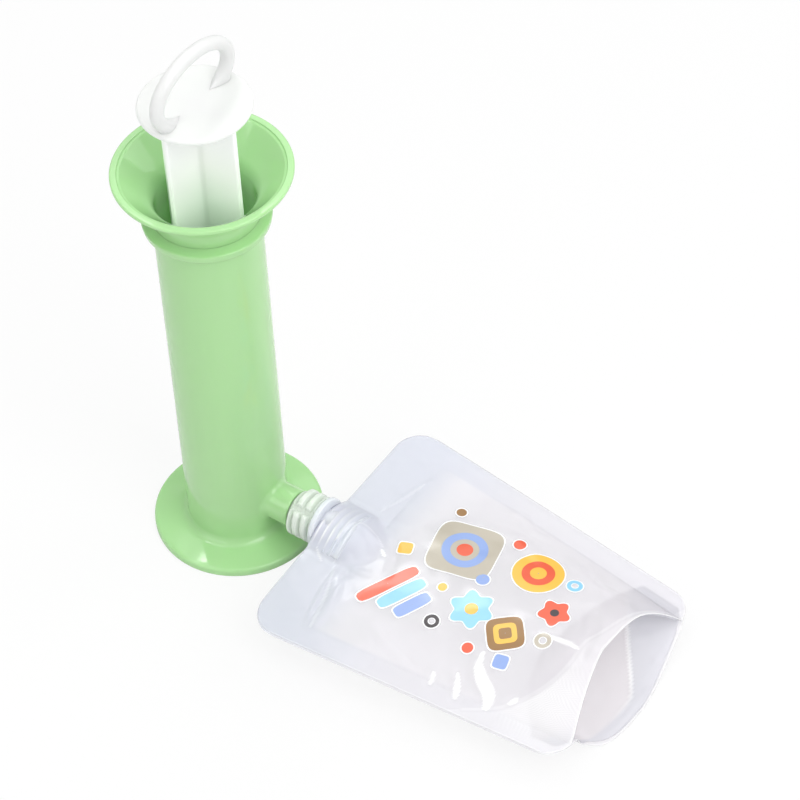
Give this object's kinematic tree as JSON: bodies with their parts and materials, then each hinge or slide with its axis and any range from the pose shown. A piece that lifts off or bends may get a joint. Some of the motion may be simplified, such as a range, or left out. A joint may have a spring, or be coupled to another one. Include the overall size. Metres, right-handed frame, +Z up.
{
  "type": "food pouch filling station",
  "caption": "Upright barrel with a funnel mouth, a hand plunger with a ring handle, and a flat spouted pouch pushed into the outlet near its foot.",
  "frame": {"origin": "centre of the foot's underside, on the barrel's axis", "axes": "+Z up the barrel's axis, +X out along the outlet towards the pouch, +Y across the pouch"},
  "size_m": [0.2179, 0.1126, 0.2405],
  "materials": {
    "green_plastic": "glossy pale green moulded plastic",
    "white_plastic": "smooth milky white moulded plastic",
    "seal_rubber": "soft white silicone rubber",
    "spout_plastic": "natural, slightly see-through moulded plastic",
    "clear_film": "clear glossy laminated film with welded seams"
  },
  "bodies": {
    "stand": {"barrel": "green_plastic", "funnel": "green_plastic"},
    "seal": {"piston_seal": "seal_rubber"},
    "plunger": {"ring_handle": "white_plastic", "guard_disc": "white_plastic", "plunger_shaft": "white_plastic", "piston_head": "white_plastic"},
    "pouch": {"spout": "spout_plastic", "front_film": "clear_film", "back_film": "clear_film", "gusset_film": "clear_film"}
  },
  "joints": [
    {"name": "plunger_stroke", "type": "slide", "parent": "stand", "child": "seal", "axis": [0, 0, 1], "range_m": [-0.039, 0.125]},
    {"name": "plunger_turn", "type": "hinge", "parent": "seal", "child": "plunger", "pos_m": [0, 0, 0.1], "axis": [0, 0, 1], "continuous": true},
    {"name": "pouch_pull", "type": "slide", "parent": "stand", "child": "pouch", "axis": [1, 0, 0], "range_m": [0, 0.02]}
  ]
}
